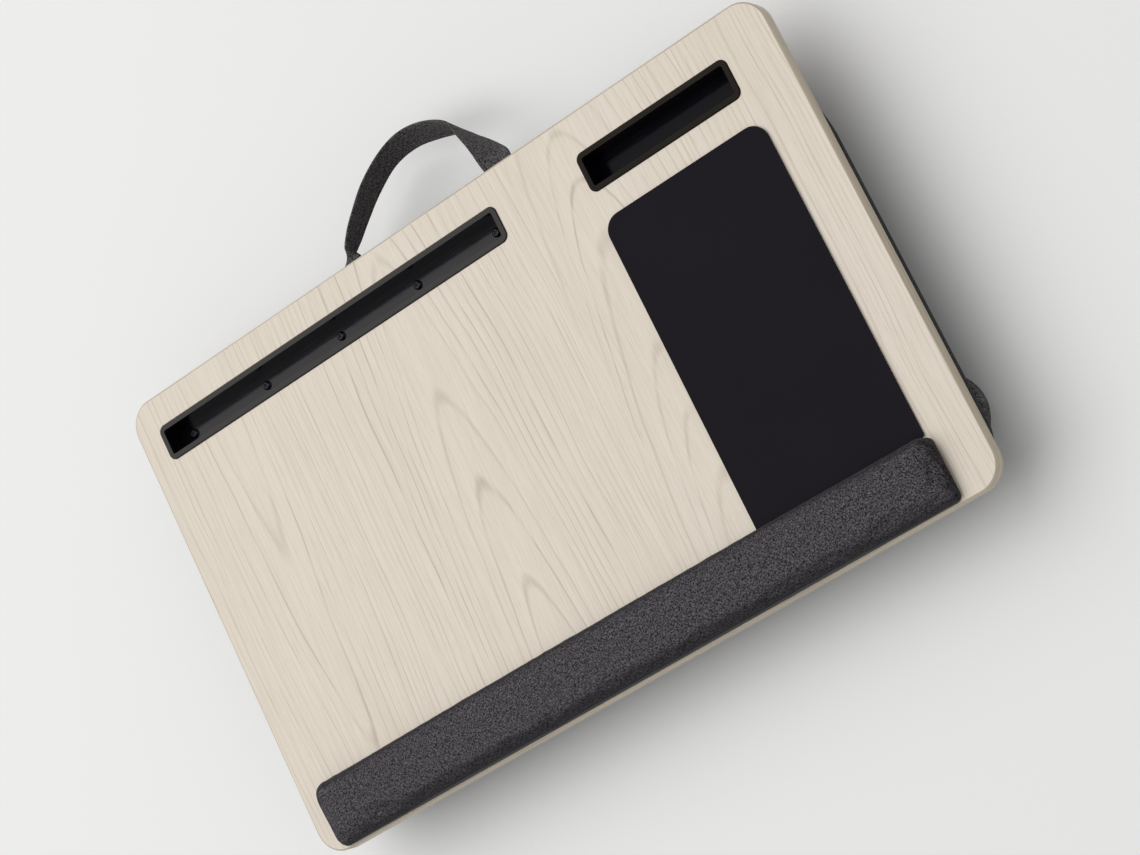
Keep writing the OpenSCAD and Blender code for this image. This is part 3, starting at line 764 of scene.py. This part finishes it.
# Form of a bolster. Its sizes come from the CAD solids that it replaces.
BOLSTER_SIDE_CURVE = 0.8
BOLSTER_TOP_CURVE = 0.75
BOLSTER_END = 76 * MM  # length of its closing ends
BOLSTER_END_CURVE = 0.55
BOLSTER_CROWN = 0.75 * MM  # how much fuller its middle is
BOLSTER_FLAT = 0.5 * MM  # how much of its height is cut flat above and below
BOLSTER_SEWN = 0.4 * MM  # how much of its top is sewn to the cushion
BOLSTER_ROUND = 64  # points round a slice
BOLSTER_STEP = 4 * MM  # distance between slices
BOLSTER_END_SLICES = 22
BOLSTER_TIP_SLICES = 21  # slices over which the cloth comes to swell freely
SEAM_STITCH_OUT = 0.35 * MM  # how far the seam's stitches stand out of the cover's cage
SEAM_DIP = 2.4 * MM  # how far the cloth sags in at the seam
SEAM_REACH = 0.16  # how far the dip reaches, as a share of half the height
SWELL_ROOM = 2.2 * MM  # how much slimmer it starts than it may become


def bolster_rings(low, high):
    """Slices along a bolster that stands a little inside the box of its CAD solid."""
    middle = (low + high) / 2
    half = (high - low) / 2 - Vector((SWELL_ROOM / 2, SWELL_ROOM, 0))
    straight = half.x - BOLSTER_END
    side = signed_power(np.cos(ROUND_ANGLES), BOLSTER_SIDE_CURVE)
    up = signed_power(np.sin(ROUND_ANGLES), BOLSTER_TOP_CURVE) * (half.z + BOLSTER_FLAT)
    # the seam runs round the bolster at half its height, and the cloth dips in along it
    dip = SEAM_DIP * np.exp(-((np.sin(ROUND_ANGLES) / SEAM_REACH) ** 2))
    rings = []
    for x, opened in slices_along(half.x, BOLSTER_END, BOLSTER_STEP, BOLSTER_END_SLICES):
        crown = BOLSTER_CROWN * max(0, 1 - (x / straight) ** 2)
        across = side * (half.y + crown - dip) * opened
        height = np.clip(middle.z + up * opened**BOLSTER_END_CURVE, low.z, high.z)
        rings.append(evenly(slice_at(middle.x + x, middle.y + across, height), BOLSTER_ROUND))
    return rings


class LAPDESK_OT_bolsters(bpy.types.Operator):
    """Make the two bolsters that the desk rests on, with their seams"""

    bl_idname = "lapdesk.bolsters"
    bl_label = "Bolsters"

    def execute(self, context):
        cloth = context.scene.lapdesk_cloth
        sewing = context.scene.lapdesk_sewing
        material = heather_cloth("cushion_heather", cloth, cloth.under_dark, cloth.under_light)
        tree = stitch_tree(sewing_thread("cushion_thread", sewing.tone))
        for side in ("front", "back"):
            low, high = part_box(f"{side}_bolster_cover")
            rings = bolster_rings(low, high)
            bolster = add_tube(f"{side}_bolster", rings, material)
            count = len(rings)
            row, column = np.divmod(np.arange(len(bolster.data.vertices)), BOLSTER_ROUND)
            quarter = BOLSTER_ROUND // 4
            seam = (column % (2 * quarter) == quarter) & (row < count)
            places = places_of(bolster.data)
            sewn_on = places[:, 2] > high.z - BOLSTER_SEWN
            from_tip = np.minimum(row, count - 1 - row)
            give = np.clip((from_tip - 1) / BOLSTER_TIP_SLICES, 0, 1)[:, None]
            held = seam | sewn_on | (from_tip < 2)
            swell(bolster, held, cloth, cap=4.5 * MM, slack=0.035, give=give)
            places = places_of(bolster.data)
            places[:, 2] = np.clip(places[:, 2], FLOOR_Z, high.z)
            move_to(bolster, places)
            smoother(bolster)
            declare(bolster, "desk", (f"{side}_bolster_cover", f"{side}_bolster_fill"))
            grid = places[: count * BOLSTER_ROUND].reshape(count, BOLSTER_ROUND, 3)
            middle = (low + high) / 2
            line = np.vstack([grid[:, quarter], grid[::-1, 3 * quarter]])
            out = line - np.array([middle.x, middle.y, line[0, 2]])
            out[:, 0] *= np.abs(out[:, 0]) > (high.x - middle.x - BOLSTER_END)
            out[:, 2] = 0
            out /= np.linalg.norm(out, axis=1, keepdims=True)
            seam_line = [(line + out * SEAM_STITCH_OUT, out, True)]
            stitches = sew(f"{side}_bolster_stitches", seam_line, sewing, tree)
            declare(stitches, "desk")
        return {"FINISHED"}


# Form of the cushion's flat part: rows of its cover from the board down, round the lower edge
# and in under the panel, as distance in from the outline and height below the board's underside.
COVER_OUTSIDE_MM = [
    (2.4, 0.1), (1.5, 0.4), (0.8, 1.2), (0.25, 2.8), (0.0, 5.0), (0.0, 7.2), (0.2, 9.0), (0.6, 10.4),
    (1.2, 11.3), (2.0, 11.8), (3.2, 12.0), (5.5, 12.0), (9.0, 12.0), (18.0, 12.0),
]
# The cloth's inner side, from the middle of the underside out and up again
COVER_INSIDE_MM = [
    (18.0, 11.2), (3.0, 11.2), (2.0, 11.0), (1.4, 10.0), (1.0, 8.0), (0.9, 5.0), (1.1, 3.0),
    (1.7, 1.6), (2.6, 0.9),
]
COVER_STEP = 3.4 * MM  # distance between points round the outline
FRONT_R = 36 * MM  # radii of the outline's corners
BACK_LEFT_R = 60 * MM
BACK_RIGHT_R = 100 * MM
PLEAT = 7.5 * MM  # distance between pleats
PLEAT_DRIFT = 23 * MM  # how fast that distance drifts
PLEAT_DEPTH = 0.55 * MM
PLEAT_LEVEL = 10.5  # where they are deepest, in millimetres below the board's underside
PLEAT_REACH = 3.5  # how far they run up and down from there, in millimetres
PLEAT_IN = 14  # how far they run in under the panel, in millimetres


def cushion_outline(low, high, inset):
    """The cushion's outline in plan, drawn in by some distance, with how round it is at each
    point: 0 along its sides and 1 in the middle of a corner."""
    arcs = []
    for x, y, radius, start in (
        (low.x + FRONT_R, low.y + FRONT_R, FRONT_R, 180),
        (high.x - FRONT_R, low.y + FRONT_R, FRONT_R, 270),
        (high.x - BACK_RIGHT_R, high.y - BACK_RIGHT_R, BACK_RIGHT_R, 0),
        (low.x + BACK_LEFT_R, high.y - BACK_LEFT_R, BACK_LEFT_R, 90),
    ):
        turns = np.radians(np.linspace(0, 90, round(radius * math.pi / 2 / COVER_STEP)))
        angles = turns + math.radians(start)
        reach = radius - inset
        bend = np.sin(2 * turns) ** 2
        arcs.append(np.column_stack([x + reach * np.cos(angles), y + reach * np.sin(angles), bend]))
    parts = []
    for arc, following in zip(arcs, arcs[1:] + arcs[:1]):
        side = following[0] - arc[-1]
        steps = round(np.linalg.norm(side[:2]) / COVER_STEP)
        shares = np.arange(1, steps)[:, None] / steps
        parts += [arc, arc[-1] + side * shares]
    return np.vstack(parts)


class LAPDESK_OT_cushion_cover(bpy.types.Operator):
    """Make the cloth that wraps the foam and the stiff panel under the board"""

    bl_idname = "lapdesk.cushion_cover"
    bl_label = "Cushion cover"

    def execute(self, context):
        cloth = context.scene.lapdesk_cloth
        low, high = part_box("cushion_cloth")
        outline = cushion_outline(low, high, 0)
        count = len(outline)
        run = run_along(np.vstack([outline, outline[:1]])[:, :2])
        wave = np.sin(run[:-1] * 2 * math.pi / PLEAT + 1.7 * np.sin(run[:-1] / PLEAT_DRIFT))
        section = np.array(COVER_OUTSIDE_MM + COVER_INSIDE_MM)
        down_run = run_along(section)
        rows = []
        for inset_mm, down_mm in section:
            plan = cushion_outline(low, high, inset_mm * MM)
            # the cloth is gathered into small pleats round the corners, most at the lower edge
            depth = PLEAT_DEPTH * plan[:, 2] * math.exp(-(((down_mm - PLEAT_LEVEL) / PLEAT_REACH) ** 2))
            depth *= math.exp(-inset_mm / PLEAT_IN) * (1 + wave) / 2
            inwards = np.array([(low.x + high.x) / 2, (low.y + high.y) / 2]) - plan[:, :2]
            inwards /= np.linalg.norm(inwards, axis=1, keepdims=True)
            moved = plan[:, :2] + inwards * depth[:, None]
            rows.append(np.column_stack([moved, np.full(count, high.z - down_mm * MM)]))
        rows = np.array(rows)
        faces, weave = [], []
        outside = len(COVER_OUTSIDE_MM)
        for j in range(len(rows)):
            following = (j + 1) % len(rows)
            if following == outside:
                continue
            for i in range(count):
                corners = [(j, i), (j, i + 1), (following, i + 1), (following, i)]
                faces.append([a * count + b % count for a, b in corners])
                if section[j][1] == section[following][1]:
                    weave += [tuple(rows[a, b % count, :2]) for a, b in corners]
                else:
                    weave += [(run[b], down_run[a] * MM) for a, b in corners]
        # both sides of the cloth close under the middle of the panel
        for row in (outside - 1, outside):
            faces.append([row * count + i for i in range(count)])
            weave += [tuple(rows[row, i, :2]) for i in range(count)]
        tones = cloth.under_dark, cloth.under_light
        # painted shade: the wrap's steep sides are painted darker
        material = heather_cloth("cushion_wrap_heather", cloth, *tones, cloth.painted_edge_shade)
        cover = add_piece("cushion_cover", rows.reshape(-1, 3), faces, weave, material)
        declare(cover, "desk", ("cushion_cloth", "cushion_foam"))
        paint("cushion_panel", speckled("hardboard", "#7a5433", "#5f3f25", 0.9, 0.7, 0.05))
        return {"FINISHED"}


# The handle's middle line from left to right, as in the CAD source. Each point has its distance
# from the handle's middle as a part of half the span, its distance from the hinge line in
# millimetres, and the strap's turn about its own length in degrees. The ends go in under the board.
HANDLE_PATH = [
    (-1.000, -23.5, 0), (-1.000, -12, 0), (-1.000, -4, 0), (-1.000, 1.2, 0), (-0.997, 8, -54),
    (-0.885, 19, -73), (-0.752, 30.5, -79), (-0.526, 47, -85), (-0.248, 59.7, -87),
    (0.042, 63.9, -97), (0.332, 59.8, -100), (0.625, 49.5, -88), (0.764, 35.5, -70),
    (0.915, 17, -41), (1.000, 1.2, 0), (1.000, -4, 0), (1.000, -12, 0), (1.000, -23.5, 0),
]
HANDLE_SPAN = 132.4 * MM
HANDLE_X = -4.8 * MM
HANDLE_DROOP = math.radians(20)
STRAP_W = 22 * MM
STRAP_T = 2.2 * MM
STRAP_ACROSS = 29  # points across the strap
HINGE = on_board(275, 347, -13.4)
STITCH_IN = 3.2 * MM  # distance of the stitches from the strap's edges
STITCH_DIP = 0.35 * MM  # how deep they pull the cloth in
STRAP_STEP = 1.6 * MM  # distance between slices


def handle_place(u, v, lift):
    """A place on the handle: sideways, away from the hinge line, and above the drooping plane."""
    droop = HANDLE_DROOP if v > 0 else 0.0
    back = v * math.cos(droop) + lift * math.sin(droop)
    up = lift * math.cos(droop) - v * math.sin(droop)
    return HINGE + Vector((HANDLE_X + u, back, up))


def handle_line():
    """The strap's middle line and turn, evenly spaced on a smooth curve through its path."""
    path = np.array(HANDLE_PATH, float)
    path[:, 0] *= HANDLE_SPAN / 2
    path[:, 1] *= MM
    padded = np.vstack([2 * path[0] - path[1], path, 2 * path[-1] - path[-2]])
    fine = []
    for k in range(len(path) - 1):
        a, b, c, d = padded[k : k + 4]
        for s in np.linspace(0, 1, 24, endpoint=False):
            cubic = 2 * b + (c - a) * s + (2 * a - 5 * b + 4 * c - d) * s**2
            fine.append((cubic + (3 * b - a - 3 * c + d) * s**3) / 2)
    fine = np.array(fine + [path[-1]])
    run = run_along(fine[:, :2])
    at = np.linspace(0, run[-1], round(run[-1] / STRAP_STEP))
    return np.stack([np.interp(at, run, fine[:, k]) for k in range(3)], 1)


def strap_section():
    """Half the strap's thickness across its width: folded edges and a dip under each stitch row."""
    across = np.linspace(-STRAP_W / 2, STRAP_W / 2, STRAP_ACROSS)
    edge = STRAP_W / 2 - np.abs(across)
    rounded = np.sqrt(np.clip(1 - (1 - np.clip(edge / (0.6 * STRAP_T), 0, 1)) ** 2, 0.02, 1))
    dip = STITCH_DIP * np.exp(-(((edge - STITCH_IN) / (0.8 * MM)) ** 2))
    return across, rounded * STRAP_T / 2 - dip


class LAPDESK_OT_handle(bpy.types.Operator):
    """Make the carry handle from one folded strap, with its stitches"""

    bl_idname = "lapdesk.handle"
    bl_label = "Handle"

    def execute(self, context):
        cloth = context.scene.lapdesk_cloth
        sewing = context.scene.lapdesk_sewing
        line = handle_line()
        across, thick = strap_section()
        stitch_at = STRAP_W / 2 - STITCH_IN
        rings, rows = [], {(side, face): ([], []) for side in (-1, 1) for face in (-1, 1)}
        for k, (u, v, turn_degrees) in enumerate(line):
            ahead = line[min(k + 1, len(line) - 1), :2] - line[max(k - 1, 0), :2]
            ahead /= np.linalg.norm(ahead)
            left = np.array([-ahead[1], ahead[0]])
            turn = math.radians(turn_degrees)

            def at(width, height):
                """A point of this slice, across the strap and through its thickness."""
                side = width * math.cos(turn) - height * math.sin(turn)
                lift = width * math.sin(turn) + height * math.cos(turn)
                return handle_place(u + left[0] * side, v + left[1] * side, lift)

            top = [at(w, t) for w, t in zip(across, thick)]
            under = [at(w, -t) for w, t in zip(across[::-1], thick[::-1])]
            half = STRAP_ACROSS // 2
            rings.append(np.array([tuple(p) for p in under[half:] + top + under[:half]]))
            for (side, face), (places, facing) in rows.items():
                height = face * (STRAP_T / 2 - STITCH_DIP)
                here = at(side * stitch_at, height)
                places.append(here)
                facing.append((here - at(side * stitch_at, 0)).normalized())
        webbing = heather_cloth("strap_heather", cloth, cloth.under_dark, cloth.under_light)
        strap = add_tube("handle_loop", rings, webbing)
        tree = stitch_tree(sewing_thread("strap_thread", sewing.tone))
        open_rows = [(places, facing, False) for places, facing in rows.values()]
        stitches = sew("handle_stitches", open_rows, sewing, tree)
        for piece in (strap, stitches):
            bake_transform(piece)
        declare(strap, None, ("handle_strap", "handle_anchors"))
        declare(stitches, None)
        return {"FINISHED"}


# The camera that the photograph was solved for: its place from the front left corner of the
# board's top in millimetres, and its axes (right, down, forward) in the row frame.
CAMERA_MM = (1068.39, -217.63, 1621.35)
CAMERA_AXES = (
    (0.77276, -0.43057, -0.46632),
    (-0.47894, -0.87769, 0.01673),
    (-0.41648, 0.21041, -0.88446),
)
STAGE_SIZE = 12.0
LAMP_PLACE = (-2.4, 1.6, 5.0)
LAMP_SIZE = (8.0, 7.0)


class LAPDESK_OT_stage(bpy.types.Operator):
    """Make the floor, the light and the camera"""

    bl_idname = "lapdesk.stage"
    bl_label = "Stage"

    def execute(self, context):
        stage = context.scene.lapdesk_stage
        material, add = start_material("pale_floor")
        clouds = add("ShaderNodeTexNoise", {"Scale": 3.0, "Detail": 2.0})[0]
        rough = add(RANGE, [clouds, 0.0, 1.0, 0.75, 0.9])[0]
        matt = {"Base Color": stage.floor, "Roughness": rough, "Specular IOR Level": 0.1}
        fill_shader(material, matt)
        half = STAGE_SIZE / 2
        mesh = bpy.data.meshes.new("floor")
        corners = [(-half, -half, 0), (half, -half, 0), (half, half, 0), (-half, half, 0)]
        mesh.from_pydata(corners, [], [(0, 1, 2, 3)])
        mesh.materials.append(material)
        put_in_scene("floor", mesh)
        self.light(context, stage)
        self.camera(context, stage)
        return {"FINISHED"}

    def light(self, context, stage):
        """An even sky and one large soft lamp above the back left corner."""
        world = bpy.data.worlds.new("studio")
        world.use_nodes = True
        context.scene.world = world
        add = partial(add_node, world.node_tree)
        seen = add("ShaderNodeLightPath")
        direct = seen["Is Camera Ray"]
        for kind in ("Is Glossy Ray", "Is Transmission Ray"):
            direct = add(MATH, [direct, seen[kind]], operation="MAXIMUM")[0]
        strength = add(RANGE, [direct, 0.0, 1.0, stage.sky_strength, stage.sky_seen])[0]
        light = {"Color": stage.sky, "Strength": strength}
        connect(world.node_tree.nodes["Background"], light)
        lamp = bpy.data.lights.new("softbox", "AREA")
        lamp.shape = "RECTANGLE"
        lamp.size, lamp.size_y = LAMP_SIZE
        lamp.energy = stage.lamp_power
        box = put_in_scene("softbox", lamp)
        box.location = LAMP_PLACE
        box.rotation_euler = box.location.to_track_quat("Z", "Y").to_euler()

    def camera(self, context, stage):
        """The camera of the photograph, whose frame is 1140 by 855."""
        right, down, forward = (Vector(axis) for axis in CAMERA_AXES)
        turn = Matrix((right, -down, -forward)).transposed()
        data = bpy.data.cameras.new("camera")
        data.sensor_width = 36.0
        data.lens = stage.lens
        data.clip_end = 50.0
        camera = put_in_scene("camera", data)
        camera.matrix_world = Matrix.Translation(on_board(*CAMERA_MM)) @ turn.to_4x4()
        context.scene.camera = camera
        context.scene.view_settings.view_transform = "Standard"


PROPERTY_GROUPS = {
    "lapdesk_wood": WoodLook,
    "lapdesk_plastic": PlasticLook,
    "lapdesk_cloth": ClothLook,
    "lapdesk_sewing": SewingLook,
    "lapdesk_stage": StageLook,
}
OPERATORS = (
    LAPDESK_OT_board,
    LAPDESK_OT_slots,
    LAPDESK_OT_mouse_pad,
    LAPDESK_OT_wrist_rest,
    LAPDESK_OT_bolsters,
    LAPDESK_OT_cushion_cover,
    LAPDESK_OT_handle,
    LAPDESK_OT_stage,
)


class LAPDESK_PT_panel(bpy.types.Panel):
    """The lap desk's pieces, in the order that they are made"""

    bl_idname = "LAPDESK_PT_panel"
    bl_label = "Lap Desk"
    bl_space_type = "VIEW_3D"
    bl_region_type = "UI"
    bl_category = "Lap Desk"

    def draw(self, context):
        for operator in OPERATORS:
            self.layout.operator(operator.bl_idname)
        for name, group in PROPERTY_GROUPS.items():
            box = self.layout.box()
            for key in group.__annotations__:
                box.prop(getattr(context.scene, name), key)


def register():
    """Registers the sizes, the operators and the panel."""
    for name, group in PROPERTY_GROUPS.items():
        bpy.utils.register_class(group)
        setattr(bpy.types.Scene, name, bpy.props.PointerProperty(type=group))
    for each in (*OPERATORS, LAPDESK_PT_panel):
        bpy.utils.register_class(each)


def unregister():
    """Takes away what register() added."""
    for each in (LAPDESK_PT_panel, *reversed(OPERATORS)):
        bpy.utils.unregister_class(each)
    for name, group in PROPERTY_GROUPS.items():
        delattr(bpy.types.Scene, name)
        bpy.utils.unregister_class(group)


def main():
    """Builds the whole model."""
    register()
    for operator in OPERATORS:
        getattr(bpy.ops.lapdesk, operator.bl_idname.split(".")[1])()


if __name__ == "__main__":
    main()
